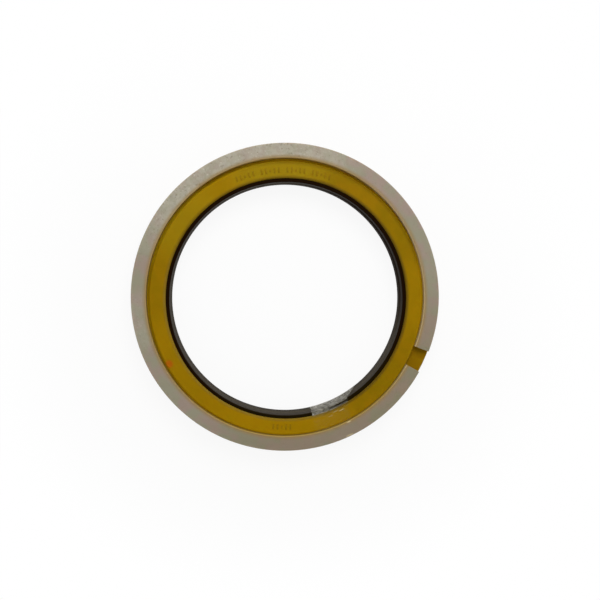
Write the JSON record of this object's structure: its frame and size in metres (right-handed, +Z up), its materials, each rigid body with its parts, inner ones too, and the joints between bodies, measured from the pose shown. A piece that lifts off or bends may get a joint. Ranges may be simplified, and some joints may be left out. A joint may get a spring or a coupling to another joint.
{
  "type": "piston seal",
  "caption": "Ring-shaped double-acting piston seal: a yellow T-section sealing ring with split backup rings in its shoulders and a black rubber energiser lining the bore.",
  "frame": {"origin": "on the axis of the bore, in the plane of the lower backup ring's flat face, on which the seal lies", "axes": "+Z up along the seal's axis; +X towards the right of the picture and +Y towards its top, so the upper backup ring's split lies between +X and -Y"},
  "size_m": [0.1, 0.1002, 0.0106],
  "materials": {
    "yellow_polyurethane": "satin mustard-yellow polyurethane, slightly translucent at the edges",
    "black_nitrile": "satin black nitrile rubber",
    "natural_nylon": "smooth natural nylon, warm grey-white, faintly mottled",
    "clear_film": "clear adhesive film, creased"
  },
  "bodies": {
    "root": {"seal_ring": "yellow_polyurethane", "energiser_ring": "black_nitrile", "upper_backup_ring": "natural_nylon", "lower_backup_ring": "natural_nylon", "clear_film": "clear_film"}
  },
  "joints": []
}
